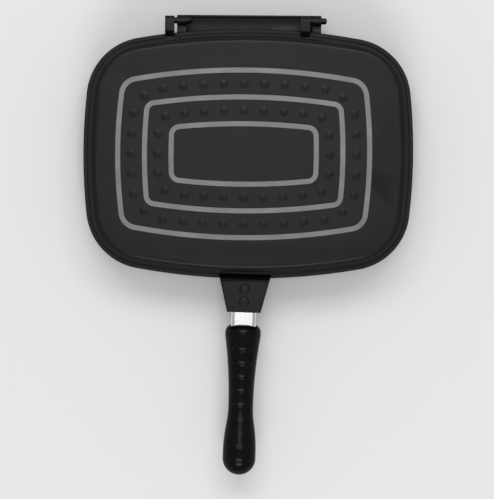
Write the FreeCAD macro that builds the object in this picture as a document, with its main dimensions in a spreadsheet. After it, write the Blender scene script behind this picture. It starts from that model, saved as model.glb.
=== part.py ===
"""Double sided flip pan: two cast pans joined by a slide-off hinge, each with its own half handle.

Built about the centre of the pans, with the lower rim face at zero height, then moved so that the
origin is the middle of the footprint, at the level that the pan stands on. X runs along the long
side, Y towards the hinge and Z up. Lengths are in millimetres, angles in degrees.
"""
import FreeCAD, Part
import math
import os
import Sketcher

SIZES = {
    "rim_length": (320, "lower rim, outside, left to right"),
    "rim_width": (242, "lower rim, outside, front to hinge"),
    "long_side_bow": (618, "radius of the long sides, which bow outwards"),
    "short_side_bow": (547, "radius of the short sides"),
    "rim_corner": (59.3, "corner radius of the lower rim"),
    "rim_lip": (3.6, "width of the lip that stands round the upper rim"),
    "lip_height": (2.5, "lip above the lower rim face"),
    "rim_drop": (5, "lower rim below its face"),
    "notch_gap": (1, "lip ends to the upper neck and to the lugs"),
    "nest_gap": (1.6, "gap between lip and upper flange"),
    "flange_step": (1.2, "upper flange proud of its wall"),
    "flange_height": (3, "height of the upper flange"),
    "rim_bevel": (0.8, "bevel on the rim's outer edges"),
    "lower_depth": (36, "rim face to outer plate, lower pan"),
    "upper_depth": (36, "rim face to outer plate, upper pan"),
    "wall": (3.5, "wall thickness"),
    "plate": (4, "plate thickness"),
    "wall_draft": (4, "lean of the walls"),
    "plate_edge": (6.5, "radius from wall to outer plate"),
    "floor_bevel": (4, "bevel from wall to floor inside"),
    "seal_margin": (1.05, "land outside the seal, under the upper flange"),
    "seal_width": (2.6, "width of the seal and its groove"),
    "seal_depth": (2.6, "depth of the seal's groove"),
    "seal_rise": (0.4, "seal above the lower rim face"),
    "seal_clearance": (0.3, "seal to upper rim face"),
    "pattern_shift": (4.4, "raised pattern left of the pan's centre"),
    "outer_ring_length": (245.3, "outer ring, outside"),
    "outer_ring_width": (164.7, "outer ring, outside"),
    "outer_ring_corner": (18, "outer ring's corner radius"),
    "middle_ring_length": (194.2, "middle ring, outside"),
    "middle_ring_width": (113.5, "middle ring, outside"),
    "middle_ring_corner": (10.3, "middle ring's corner radius"),
    "inner_ring_length": (143.5, "inner ring, outside"),
    "inner_ring_width": (62.5, "inner ring, outside"),
    "inner_ring_corner": (10.5, "inner ring's corner radius"),
    "ring_long_bow": (600, "radius of the rings' long sides"),
    "ring_short_bow": (465, "radius of the rings' short sides"),
    "ring_band": (4.8, "width of a ring"),
    "ring_rise": (0.8, "ring above the plate, which the pan stands on"),
    "outer_bump_corner": (33, "corner radius of the outer loop of bumps"),
    "inner_bump_corner": (15, "corner radius of the inner loop of bumps"),
    "bump_radius": (5.4, "radius of a bump's foot"),
    "bump_rise": (0.5, "bump above the plate"),
    "grill_pitch": (22, "spacing of the grill ribs"),
    "grill_width": (4.4, "width of a grill rib"),
    "grill_rise": (2.2, "grill rib above the floor"),
    "grill_draft": (15, "lean of a grill rib's sides"),
    "grill_margin": (20, "end of a grill rib to the wall"),
    "trough_length": (139.6, "drip trough, outside, left to right"),
    "trough_reach": (134.3, "pan centre to the trough's outer face"),
    "trough_wall": (1.6, "outer wall of the trough"),
    "trough_top": (1.5, "trough wall below the rim face"),
    "trough_floor": (14, "trough floor below the rim face"),
    "trough_base": (2.5, "thickness of the trough's floor"),
    "trough_round": (3, "rounding along the trough's lower edge"),
    "hinge_out": (128.6, "pan centre to the hinge axis"),
    "hinge_height": (3.5, "hinge axis above the lower rim face"),
    "barrel_radius": (4.6, "knuckles and lugs round the pin"),
    "knuckle_width": (8.6, "knuckle, which is also the trough's end wall"),
    "root_gap": (2.2, "groove between a knuckle and its root beside the rim"),
    "root_top": (1.5, "a knuckle's root above the rim face"),
    "lug_width": (9, "lug of the upper pan"),
    "lug_gap": (2.5, "lug to knuckle"),
    "lug_flat": (118.7, "pan centre to the end of a lug's flat top"),
    "lug_slope": (5.7, "run of the slope from there down to the flange"),
    "pin_radius": (3, "hinge pin"),
    "pin_play": (0.05, "pin to knuckle hole, on the radius"),
    "pin_sink": (1, "pin's back end inside its lug"),
    "pin_overhang": (5.2, "pin past the knuckle"),
    "pin_nose": (1.2, "bevel on the pin's free end"),
    "handle_shift": (2.7, "handle left of the pan's centre, at the first rivet"),
    "handle_pivot": (130.9, "pan centre to the first rivet"),
    "handle_lean": (1.45, "lean of the handle to the left"),
    "neck_root_width": (52.6, "neck at the pan's wall"),
    "neck_end_width": (32.6, "neck at the ferrule"),
    "neck_reach": (22.5, "first rivet to the end of the neck"),
    "neck_height": (10.5, "neck from the rim face to its back"),
    "neck_sole": (2.4, "thin part of the neck beside the wall"),
    "neck_step": (12.6, "first rivet to the step up from the thin part"),
    "neck_slope": (5.4, "bevel on that step"),
    "neck_round": (1.8, "rounding along the neck's sides and end"),
    "tang_width": (18, "tang strap"),
    "tang_thickness": (3, "tang strap"),
    "tang_lift": (4, "mating face to tang"),
    "tang_inner": (5.5, "tang past the first rivet"),
    "tang_in_grip": (50, "tang inside the grip"),
    "tang_play": (0.1, "tang to its slots, all round"),
    "rivet_pitch": (12.3, "spacing of the rivets"),
    "rivet_shank": (2.5, "radius of a rivet's shank"),
    "rivet_head": (5.05, "radius of a rivet's head"),
    "rivet_crown": (3, "radius of the flat on a rivet's head"),
    "rivet_brim": (0.6, "height of the head's straight side"),
    "rivet_dome": (1.7, "height of a rivet's head"),
    "rivet_sink": (0.2, "rivet end below the mating face"),
    "rivet_play": (0.05, "rivet to its holes, on the radius"),
    "ferrule_width": (24.3, "ferrule, outside"),
    "ferrule_height": (9.4, "ferrule, outside"),
    "ferrule_lift": (0.5, "mating face to ferrule"),
    "ferrule_wall": (0.8, "sheet thickness of the ferrule"),
    "ferrule_round": (4, "ferrule's back corners"),
    "ferrule_heel": (1.2, "ferrule's corners at the mating face"),
    "ferrule_show": (12, "ferrule between neck and grip"),
    "ferrule_tuck": (4, "ferrule inside the grip"),
    "ferrule_play": (0.1, "ferrule to its socket"),
    "grip_length": (147.4, "grip"),
    "shoulder_radius": (8.2, "rounding of the grip's front end"),
    "collar_radius": (17.4, "grip's collar"),
    "collar_at": (10.7, "front end to the back of the collar"),
    "collar_fall": (8, "arc that falls away from the collar"),
    "waist_radius": (12.1, "grip's waist"),
    "waist_at": (79.5, "front end to the waist"),
    "waist_rise": (110, "arc that rises from the waist"),
    "swell_radius": (16.1, "grip's swell, and its round end"),
    "swell_at": (125.5, "front end to the start of the swell"),
    "first_rib_at": (23.8, "front end to the first finger rib"),
    "rib_pitch": (13.5, "spacing of the finger ribs"),
    "rib_foot": (4.8, "width of a finger rib where it leaves the grip"),
    "rib_crest": (2.2, "width of its crest"),
    "rib_rise": (0.9, "finger rib above the grip"),
    "rib_root": (1.2, "finger rib below the grip's surface"),
    "rib_sweep": (76, "angle of the grip's back that a rib spans"),
    "screw_at": (28, "front end to the screw"),
    "screw_radius": (2, "screw's shank"),
    "screw_head": (3.8, "radius of the screw's head"),
    "screw_head_height": (2, "height of the screw's head"),
    "screw_sink": (0.3, "screw head below the mating face"),
    "screw_drive": (1.5, "radius of the hexagon drive, to its corners"),
    "screw_drive_depth": (1.2, "depth of the hexagon drive"),
    "screw_play": (0.2, "screw to its holes, on the radius"),
    "washer_radius": (4.6, "washer"),
    "washer_thickness": (0.7, "washer"),
    "insert_radius": (4, "hexagonal threaded insert, to its corners"),
    "insert_length": (4.6, "threaded insert"),
    "screw_end": (1, "screw's end short of the insert's end"),
    "magnet_radius": (6, "magnet"),
    "magnet_thickness": (4, "magnet"),
    "magnet_sink": (0.15, "magnet below the mating face"),
    "magnet_at": (122, "front end of the grip to the magnet"),
}
OUTER_BUMPS_PER_QUARTER = 8
INNER_BUMPS_PER_QUARTER = 6
GRILL_RIBS_EACH_SIDE = 5
FINGER_RIBS = 9

LOWER = -1
UPPER = 1
RIM_GAP = "(Sizes.seal_rise + Sizes.seal_clearance)"
FLANGE_INSET = "(Sizes.rim_lip + Sizes.nest_gap)"
WALL_INSET = "(Sizes.rim_lip + Sizes.nest_gap + Sizes.flange_step)"
CAVITY_INSET = "(Sizes.rim_lip + Sizes.nest_gap + Sizes.flange_step + Sizes.wall)"
SEAL_INSET = "(Sizes.rim_lip + Sizes.nest_gap + Sizes.seal_margin)"
GRIP_START = "(Sizes.neck_reach + Sizes.ferrule_show)"
NECK_ROOT = "(Sizes.handle_pivot - Sizes.rim_width / 2 + %s + Sizes.wall / 2)" % WALL_INSET
RIVET_PLACES = ("0", "-Sizes.rivet_pitch")
SCREW_PLACE = "-(%s + Sizes.screw_at)" % GRIP_START
DEPTH = {LOWER: "Sizes.lower_depth", UPPER: "Sizes.upper_depth"}
BASE = {LOWER: "0", UPPER: RIM_GAP}

doc = FreeCAD.newDocument("flip_pan")
sheet = doc.addObject("Spreadsheet::Sheet", "Sizes")
for row, (name, (value, note)) in enumerate(SIZES.items(), start=1):
    sheet.set("A%d" % row, name)
    sheet.set("B%d" % row, str(value))
    sheet.setAlias("B%d" % row, name)
    sheet.set("C%d" % row, note)
doc.recompute()


def value_of(expression):
    """The number that an expression over the sheet gives."""
    result = sheet.evalExpression(expression)
    return float(getattr(result, "Value", result))


def new_body(label):
    body = doc.addObject("PartDesign::Body", label)
    body.Label = label
    body.AllowCompound = True
    return body


def origin_plane(body, role):
    return next(item for item in body.Origin.OriginFeatures if item.Role == role)


def sketch_on(body, role, name, lift="0", in_handle=False):
    """A sketch on an origin plane, lifted along its normal, or laid in the leaning handle's frame."""
    sketch = body.newObject("Sketcher::SketchObject", name)
    sketch.AttachmentSupport = [(origin_plane(body, role), "")]
    sketch.MapMode = "FlatFace"
    sketch.setExpression(".AttachmentOffset.Base.z", lift)
    if in_handle:
        sketch.setExpression(".AttachmentOffset.Base.x", "-Sizes.handle_shift")
        sketch.setExpression(".AttachmentOffset.Base.y", "-Sizes.handle_pivot")
        sketch.setExpression(".AttachmentOffset.Rotation.Angle", "-Sizes.handle_lean")
    return sketch


def dimension(sketch, kind, *place_and_expression):
    """A constraint whose value follows an expression."""
    *place, expression = place_and_expression
    index = sketch.addConstraint(Sketcher.Constraint(kind, *place, value_of(expression)))
    sketch.setExpression("Constraints[%d]" % index, expression)
    return index


def relate(sketch, kind, *place):
    sketch.addConstraint(Sketcher.Constraint(kind, *place))


def arc(centre_x, centre_y, radius, start, end):
    circle = Part.Circle(FreeCAD.Vector(centre_x, centre_y, 0), FreeCAD.Vector(0, 0, 1), radius)
    return Part.ArcOfCircle(circle, start, end)


def line(start, end):
    return Part.LineSegment(FreeCAD.Vector(*start, 0), FreeCAD.Vector(*end, 0))


def bowed_arcs(half_long, half_short, long_bow, short_bow, corner):
    """Eight tangent arcs, anticlockwise from the back side: four bowed sides and four corners."""
    back_y = half_short - long_bow
    side_x = half_long - short_bow
    reach = math.hypot(side_x, back_y)
    to_back = long_bow - corner
    to_side = short_bow - corner
    along = (to_back ** 2 - to_side ** 2 + reach ** 2) / (2 * reach)
    across = math.sqrt(to_back ** 2 - along ** 2)
    corner_x = (side_x * along - back_y * across) / reach
    corner_y = back_y + (-back_y * along - side_x * across) / reach
    high = math.atan2(corner_y - back_y, corner_x)
    low = math.atan2(corner_y, corner_x - side_x)
    half_turn, full_turn = math.pi, 2 * math.pi
    return [
        arc(0, back_y, long_bow, high, half_turn - high),
        arc(-corner_x, corner_y, corner, half_turn - high, half_turn - low),
        arc(-side_x, 0, short_bow, half_turn - low, half_turn + low),
        arc(-corner_x, -corner_y, corner, half_turn + low, half_turn + high),
        arc(0, -back_y, long_bow, half_turn + high, full_turn - high),
        arc(corner_x, -corner_y, corner, full_turn - high, full_turn - low),
        arc(side_x, 0, short_bow, -low, low),
        arc(corner_x, corner_y, corner, low, high),
    ]


def bowed_loop(sketch, half_long, half_short, long_bow, short_bow, corner):
    """The bowed rectangle of eight arcs, each of its five sizes an expression."""
    sizes = (half_long, half_short, long_bow, short_bow, corner)
    loop = sketch.addGeometry(bowed_arcs(*[value_of(size) for size in sizes]), False)
    for this, following in zip(loop, list(loop[1:]) + [loop[0]]):
        relate(sketch, "Tangent", this, 2, following, 1)
    back, left, front, right = loop[0], loop[2], loop[4], loop[6]
    dimension(sketch, "Radius", back, long_bow)
    dimension(sketch, "Radius", left, short_bow)
    dimension(sketch, "Radius", loop[1], corner)
    relate(sketch, "Equal", back, front)
    relate(sketch, "Equal", left, right)
    for other in (loop[3], loop[5], loop[7]):
        relate(sketch, "Equal", loop[1], other)
    for side, axis in ((back, -2), (front, -2), (left, -1), (right, -1)):
        relate(sketch, "PointOnObject", side, 3, axis)
    dimension(sketch, "DistanceY", back, 3, -1, 1, "%s - %s" % (long_bow, half_short))
    dimension(sketch, "DistanceY", -1, 1, front, 3, "%s - %s" % (long_bow, half_short))
    dimension(sketch, "DistanceX", -1, 1, left, 3, "%s - %s" % (short_bow, half_long))
    dimension(sketch, "DistanceX", right, 3, -1, 1, "%s - %s" % (short_bow, half_long))


def rim_loop(sketch, inset):
    """The lower rim's outline, moved in by an expression."""
    bowed_loop(
        sketch,
        "(Sizes.rim_length / 2 - %s)" % inset,
        "(Sizes.rim_width / 2 - %s)" % inset,
        "(Sizes.long_side_bow - %s)" % inset,
        "(Sizes.short_side_bow - %s)" % inset,
        "(Sizes.rim_corner - %s)" % inset,
    )


def ring_loop(sketch, ring, inset):
    """A raised ring's outer outline, moved in by an expression."""
    bowed_loop(
        sketch,
        "(Sizes.%s_ring_length / 2 - %s)" % (ring, inset),
        "(Sizes.%s_ring_width / 2 - %s)" % (ring, inset),
        "(Sizes.ring_long_bow - %s)" % inset,
        "(Sizes.ring_short_bow - %s)" % inset,
        "(Sizes.%s_ring_corner - %s)" % (ring, inset),
    )


def polygon(sketch, corners):
    """A closed outline through corners, each a pair of expressions, which its dimensions follow."""
    points = [(value_of(x), value_of(y)) for x, y in corners]
    edges = sketch.addGeometry([line(a, b) for a, b in zip(points, points[1:] + points[:1])], False)
    for this, following in zip(edges, list(edges[1:]) + [edges[0]]):
        relate(sketch, "Coincident", this, 2, following, 1)
    for edge, (x, y) in zip(edges, corners):
        place_point(sketch, edge, 1, x, y)
    return edges


def place_point(sketch, geometry, point, x, y):
    """Holds a point of the sketch at two expressions, either of which may be negative or zero."""
    for kind, size in (("DistanceX", x), ("DistanceY", y)):
        amount = value_of(size)
        if abs(amount) < 1e-9:
            relate(sketch, "PointOnObject", geometry, point, -2 if kind == "DistanceX" else -1)
        elif amount > 0:
            dimension(sketch, kind, -1, 1, geometry, point, size)
        else:
            dimension(sketch, kind, geometry, point, -1, 1, "-(%s)" % size)


def circle_at(sketch, x, y, radius):
    centre = FreeCAD.Vector(value_of(x), value_of(y), 0)
    index = sketch.addGeometry(Part.Circle(centre, FreeCAD.Vector(0, 0, 1), value_of(radius)), False)
    dimension(sketch, "Radius", index, radius)
    place_point(sketch, index, 3, x, y)
    return index


def pad(body, sketch, length, side=UPPER, taper=None, midplane=False):
    feature = body.newObject("PartDesign::Pad", sketch.Name + "_pad")
    feature.Profile = sketch
    feature.setExpression("Length", length)
    feature.Reversed = side == LOWER
    feature.Midplane = midplane
    if taper:
        feature.setExpression("TaperAngle", taper)
    return feature


def pocket(body, sketch, length, side=LOWER, taper=None, midplane=False):
    """Cuts along the sketch's normal for UPPER and against it for LOWER."""
    feature = body.newObject("PartDesign::Pocket", sketch.Name + "_cut")
    feature.Profile = sketch
    feature.setExpression("Length", length)
    feature.Reversed = side == UPPER
    feature.Midplane = midplane
    if taper:
        feature.setExpression("TaperAngle", taper)
    return feature


def turn(body, sketch, kind="PartDesign::Revolution", axis="V_Axis", angle="360", midplane=False):
    feature = body.newObject(kind, sketch.Name + "_turn")
    feature.Profile = sketch
    feature.ReferenceAxis = (sketch, [axis])
    feature.setExpression("Angle", angle)
    feature.Midplane = midplane
    return feature


def dress(body, base, kind, size_name, picked, prop="Radius"):
    """A fillet or chamfer on the edges of the base that a test picks by their bounding boxes."""
    doc.recompute()
    edges = ["Edge%d" % (n + 1) for n, edge in enumerate(base.Shape.Edges) if picked(edge.BoundBox)]
    feature = body.newObject("PartDesign::" + kind, base.Name + "_" + kind.lower())
    feature.Base = (base, edges)
    feature.setExpression(prop, size_name)
    return feature


def flat_at(height):
    """Picks the edges that lie flat at a height."""
    level = value_of(height)
    return lambda box: abs(box.ZMin - level) < 1e-4 and abs(box.ZMax - level) < 1e-4


def outward(side, distance):
    """The height of what lies a distance outwards from a pan's rim face."""
    return "%s + (%d) * (%s)" % (BASE[side], side, distance)


def pan_wall(body, side):
    """The drafted outside of a pan, rounded into its plate."""
    outline = sketch_on(body, "XY_Plane", body.Name + "_wall", BASE[side])
    rim_loop(outline, WALL_INSET)
    wall = pad(body, outline, DEPTH[side], side, "-Sizes.wall_draft")
    dress(body, wall, "Fillet", "Sizes.plate_edge", flat_at(outward(side, DEPTH[side])))


def pan_cavity(body, side):
    """The drafted hollow, rounded into its floor."""
    outline = sketch_on(body, "XY_Plane", body.Name + "_cavity", BASE[side])
    rim_loop(outline, CAVITY_INSET)
    depth = "%s - Sizes.plate" % DEPTH[side]
    cavity = pocket(body, outline, depth, side, "-Sizes.wall_draft")
    dress(body, cavity, "Chamfer", "Sizes.floor_bevel", flat_at(outward(side, depth)), "Size")


def pan_relief(body, side):
    """Three raised rings and two loops of low bumps on the outer plate."""
    for ring in ("outer", "middle", "inner"):
        name = "%s_%s_ring" % (body.Name, ring)
        band = sketch_on(body, "XY_Plane", name, outward(side, DEPTH[side]))
        band.setExpression(".AttachmentOffset.Base.x", "-Sizes.pattern_shift")
        ring_loop(band, ring, "0")
        ring_loop(band, ring, "Sizes.ring_band")
        pad(body, band, "Sizes.ring_rise", side)
    bumps = sketch_on(body, "XY_Plane", body.Name + "_bumps", outward(side, DEPTH[side]))
    bumps.setExpression(".AttachmentOffset.Base.x", "-Sizes.pattern_shift")
    loops = (
        ("outer", "middle", "outer_bump_corner", OUTER_BUMPS_PER_QUARTER),
        ("middle", "inner", "inner_bump_corner", INNER_BUMPS_PER_QUARTER),
    )
    for outside, inside, corner, count in loops:
        for x, y in bump_places(outside, inside, corner, count):
            fixed_octagon(bumps, x, y, value_of("Sizes.bump_radius"))
    pad(body, bumps, "Sizes.bump_rise", side)


def fixed_octagon(sketch, x, y, radius):
    """A regular octagon held where it is, for a bump with few faces."""
    turns = [math.radians(22.5 + 45 * number) for number in range(8)]
    corners = [(x + radius * math.cos(turn), y + radius * math.sin(turn)) for turn in turns]
    sides = sketch.addGeometry([line(a, b) for a, b in zip(corners, corners[1:] + corners[:1])], False)
    for side in sides:
        relate(sketch, "Block", side)


def bump_places(outside, inside, corner, count):
    """Points evenly spaced round the loop midway between two rings, from the middle of each side."""
    lanes = []
    for measure in ("length", "width"):
        outer_edge = value_of("Sizes.%s_ring_%s / 2 - Sizes.ring_band" % (outside, measure))
        inner_edge = value_of("Sizes.%s_ring_%s / 2" % (inside, measure))
        lanes.append((outer_edge + inner_edge) / 2)
    bows = (value_of("Sizes.ring_long_bow"), value_of("Sizes.ring_short_bow"))
    arcs = bowed_arcs(*lanes, *bows, value_of("Sizes." + corner))
    quarter_turn = math.pi / 2
    quarter = Part.Wire([
        arc(0, lanes[1] - bows[0], bows[0], arcs[0].FirstParameter, quarter_turn).toShape(),
        arcs[7].toShape(),
        arc(lanes[0] - bows[1], 0, bows[1], 0, arcs[6].LastParameter).toShape(),
    ])
    apart = value_of("Sizes.bump_radius")
    places = []
    for point in quarter.discretize(count + 1):
        for x in {point.x, -point.x}:
            for y in {point.y, -point.y}:
                if all(math.hypot(x - a, y - b) > apart for a, b in places):
                    places.append((x, y))
    return places


def neck_half(place):
    """Half the neck's width at a distance from the first rivet towards the pan."""
    taper = "(Sizes.neck_root_width - Sizes.neck_end_width) / 2 / (%s + Sizes.neck_reach)" % NECK_ROOT
    return "(Sizes.neck_end_width / 2 + %s * (%s + Sizes.neck_reach))" % (taper, place)


def neck(body, side):
    """The cast neck: a thin part beside the wall, then a thicker boss that carries the handle."""
    for name, start, height in (
        ("sole", NECK_ROOT, "Sizes.neck_sole"),
        ("boss", "Sizes.neck_step", "Sizes.neck_height"),
    ):
        label = "%s_neck_%s" % (body.Name, name)
        outline = sketch_on(body, "XY_Plane", label, BASE[side], in_handle=True)
        polygon(outline, (
            ("-" + neck_half(start), start),
            ("-Sizes.neck_end_width / 2", "-Sizes.neck_reach"),
            ("Sizes.neck_end_width / 2", "-Sizes.neck_reach"),
            (neck_half(start), start),
        ))
        part = pad(body, outline, height, side)
    back = value_of(outward(side, "Sizes.neck_height"))
    step_y = -value_of("Sizes.handle_pivot - Sizes.neck_step")
    slack = value_of("Sizes.neck_round")

    def on_step(box):
        return abs(box.ZMin - back) < 1e-4 and abs(box.ZMax - back) < 1e-4 and box.YMin > step_y - slack

    def on_sides(box):
        return abs(box.ZMin - back) < 1e-4 and abs(box.ZMax - back) < 1e-4 and box.YMin < step_y - slack

    bevel = dress(body, part, "Chamfer", "Sizes.neck_slope", on_step, "Size")
    dress(body, bevel, "Fillet", "Sizes.neck_round", on_sides)


def handle_seat(body, side):
    """The slot that the tang slides into, and the rivet holes through the neck."""
    level = outward(side, "Sizes.tang_lift - Sizes.tang_play")
    slot = sketch_on(body, "XY_Plane", body.Name + "_tang_slot", level, in_handle=True)
    half = "(Sizes.tang_width / 2 + Sizes.tang_play)"
    inner = "(Sizes.tang_inner + Sizes.tang_play)"
    past = "-(Sizes.neck_reach + Sizes.neck_round)"
    polygon(slot, (("-" + half, inner), ("-" + half, past), (half, past), (half, inner)))
    pocket(body, slot, "Sizes.tang_thickness + 2 * Sizes.tang_play", side)
    holes = sketch_on(body, "XY_Plane", body.Name + "_rivet_holes", BASE[side], in_handle=True)
    for place in RIVET_PLACES:
        circle_at(holes, "0", place, "(Sizes.rivet_shank + Sizes.rivet_play)")
    pocket(body, holes, "Sizes.neck_height", side)


BARREL = ("Sizes.hinge_out", "Sizes.hinge_height", "Sizes.barrel_radius")


def bar_along_x(body, name, start, length, outline):
    """A piece of constant side profile, from one distance along X to another."""
    profile = sketch_on(body, "YZ_Plane", "%s_%s" % (body.Name, name), start)
    outline(profile)
    return pad(body, profile, length)


def barrel_with_foot(sketch, foot):
    """A round barrel about the hinge axis, standing on a foot as wide as itself."""
    across, up, radius = (value_of(size) for size in BARREL)
    low = value_of(foot)
    dome, front, sole, back = sketch.addGeometry([
        arc(across, up, radius, 0, math.pi),
        line((across - radius, up), (across - radius, low)),
        line((across - radius, low), (across + radius, low)),
        line((across + radius, low), (across + radius, up)),
    ], False)
    relate(sketch, "Tangent", dome, 2, front, 1)
    relate(sketch, "Coincident", front, 2, sole, 1)
    relate(sketch, "Coincident", sole, 2, back, 1)
    relate(sketch, "Tangent", back, 2, dome, 1)
    relate(sketch, "Vertical", front)
    relate(sketch, "Horizontal", sole)
    dimension(sketch, "Radius", dome, "Sizes.barrel_radius")
    place_point(sketch, dome, 3, "Sizes.hinge_out", "Sizes.hinge_height")
    dimension(sketch, "DistanceY", sole, 1, -1, 1, "-(%s)" % foot)


def barrel_with_arm(sketch):
    """A lug: a barrel about the hinge axis with an arm that slopes down to the upper pan's flange."""
    across, up, radius = (value_of(size) for size in BARREL)
    root = "(Sizes.rim_width / 2 - %s - Sizes.wall)" % CAVITY_INSET
    flange_top = "(%s + Sizes.flange_height)" % RIM_GAP
    foot = "(Sizes.lug_flat - Sizes.lug_slope)"
    root_y, under_z, flange_z, foot_y, flat_y = (
        value_of(size) for size in (root, RIM_GAP, flange_top, foot, "Sizes.lug_flat"))
    meet = math.pi + math.asin((up - under_z) / radius)
    meet_y = across - math.sqrt(radius ** 2 - (up - under_z) ** 2)
    barrel, underside, end, low_top, slope, top = sketch.addGeometry([
        arc(across, up, radius, meet - 2 * math.pi, math.pi / 2),
        line((meet_y, under_z), (root_y, under_z)),
        line((root_y, under_z), (root_y, flange_z)),
        line((root_y, flange_z), (foot_y, flange_z)),
        line((foot_y, flange_z), (flat_y, up + radius)),
        line((flat_y, up + radius), (across, up + radius)),
    ], False)
    relate(sketch, "Coincident", barrel, 1, underside, 1)
    relate(sketch, "Coincident", underside, 2, end, 1)
    relate(sketch, "Coincident", end, 2, low_top, 1)
    relate(sketch, "Coincident", low_top, 2, slope, 1)
    relate(sketch, "Coincident", slope, 2, top, 1)
    relate(sketch, "Tangent", top, 2, barrel, 2)
    relate(sketch, "Horizontal", underside)
    relate(sketch, "Horizontal", top)
    dimension(sketch, "Radius", barrel, "Sizes.barrel_radius")
    place_point(sketch, barrel, 3, "Sizes.hinge_out", "Sizes.hinge_height")
    place_point(sketch, underside, 2, root, RIM_GAP)
    place_point(sketch, low_top, 1, root, flange_top)
    place_point(sketch, slope, 1, foot, flange_top)
    dimension(sketch, "DistanceX", -1, 1, top, 1, "Sizes.lug_flat")


KNUCKLE_STARTS = ("-Sizes.trough_length / 2", "Sizes.trough_length / 2 - Sizes.knuckle_width")
LUG_STARTS = tuple("%s - Sizes.lug_gap - Sizes.lug_width" % start for start in KNUCKLE_STARTS)


def hinge_hole(body, start, width, radius):
    """A round hole about the hinge axis, through one knuckle or lug."""
    hole = sketch_on(body, "YZ_Plane", body.Name + "_pin_hole", start)
    circle_at(hole, "Sizes.hinge_out", "Sizes.hinge_height", radius)
    pocket(body, hole, width, UPPER)


def make_lower_pan():
    body = new_body("lower_pan")
    rim = sketch_on(body, "XY_Plane", "lower_rim", "Sizes.lip_height")
    rim_loop(rim, "0")
    rim_pad = pad(body, rim, "Sizes.lip_height + Sizes.rim_drop", LOWER)
    dress(body, rim_pad, "Chamfer", "Sizes.rim_bevel", lambda box: box.ZLength < 1e-4, "Size")
    pan_wall(body, LOWER)

    block = sketch_on(body, "XY_Plane", "trough_block", "-Sizes.trough_top")
    half = "Sizes.trough_length / 2"
    front = "(Sizes.rim_width / 2 - %s - Sizes.wall)" % CAVITY_INSET
    back = "Sizes.trough_reach"
    polygon(block, (("-" + half, front), (half, front), (half, back), ("-" + half, back)))
    block_pad = pad(body, block, "Sizes.trough_floor + Sizes.trough_base - Sizes.trough_top", LOWER)
    reach = value_of("Sizes.trough_reach")
    low = -value_of("Sizes.trough_floor + Sizes.trough_base")
    dress(body, block_pad, "Fillet", "Sizes.trough_round",
          lambda box: abs(box.YMin - reach) < 1e-4 and abs(box.ZMax - low) < 1e-4)

    foot = "-(Sizes.trough_top + Sizes.trough_base)"
    root_back = "(Sizes.hinge_out - Sizes.barrel_radius - Sizes.root_gap)"
    root = ((front, foot), (root_back, foot), (root_back, "Sizes.root_top"), (front, "Sizes.root_top"))
    for number, start in enumerate(KNUCKLE_STARTS):
        bar_along_x(body, "knuckle_%d" % number, start, "Sizes.knuckle_width",
                    lambda profile: barrel_with_foot(profile, foot))
        bar_along_x(body, "knuckle_root_%d" % number, start, "Sizes.knuckle_width",
                    lambda profile: polygon(profile, root))

    neck(body, LOWER)

    nest = sketch_on(body, "XY_Plane", "lower_nest", "Sizes.lip_height")
    rim_loop(nest, "Sizes.rim_lip")
    pocket(body, nest, "Sizes.lip_height")
    pan_cavity(body, LOWER)

    groove = sketch_on(body, "XY_Plane", "seal_groove")
    rim_loop(groove, SEAL_INSET)
    rim_loop(groove, "(%s + Sizes.seal_width)" % SEAL_INSET)
    pocket(body, groove, "Sizes.seal_depth")

    trough = sketch_on(body, "XY_Plane", "trough_hollow", "Sizes.lip_height")
    trough_hollow(trough)
    pocket(body, trough, "Sizes.lip_height + Sizes.trough_floor")

    for start in KNUCKLE_STARTS:
        hinge_hole(body, start, "Sizes.knuckle_width", "(Sizes.pin_radius + Sizes.pin_play)")

    lip_notches(body)
    grill_ribs(body)
    pan_relief(body, LOWER)
    handle_seat(body, LOWER)
    return body


def lip_notches(body):
    """Gaps in the lip for the upper neck and the lugs."""
    for_neck = sketch_on(body, "XY_Plane", "neck_notch", "Sizes.lip_height", in_handle=True)
    outside = "(Sizes.handle_pivot - Sizes.rim_width / 2 - Sizes.rim_lip)"
    inside = "(Sizes.handle_pivot - Sizes.rim_width / 2 + %s)" % FLANGE_INSET
    near = "(%s + Sizes.notch_gap)" % neck_half(outside)
    far = "(%s + Sizes.notch_gap)" % neck_half(inside)
    polygon(for_neck, (("-" + near, outside), (near, outside), (far, inside), ("-" + far, inside)))
    pocket(body, for_neck, "Sizes.lip_height")

    for_lugs = sketch_on(body, "XY_Plane", "lug_notches", "Sizes.lip_height")
    front = "(Sizes.rim_width / 2 - %s - Sizes.wall)" % CAVITY_INSET
    back = "(Sizes.rim_width / 2)"
    for start in LUG_STARTS:
        left = "(%s - Sizes.notch_gap)" % start
        right = "(%s + Sizes.lug_width + Sizes.notch_gap)" % start
        polygon(for_lugs, ((left, front), (right, front), (right, back), (left, back)))
    pocket(body, for_lugs, "Sizes.lip_height")


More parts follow.
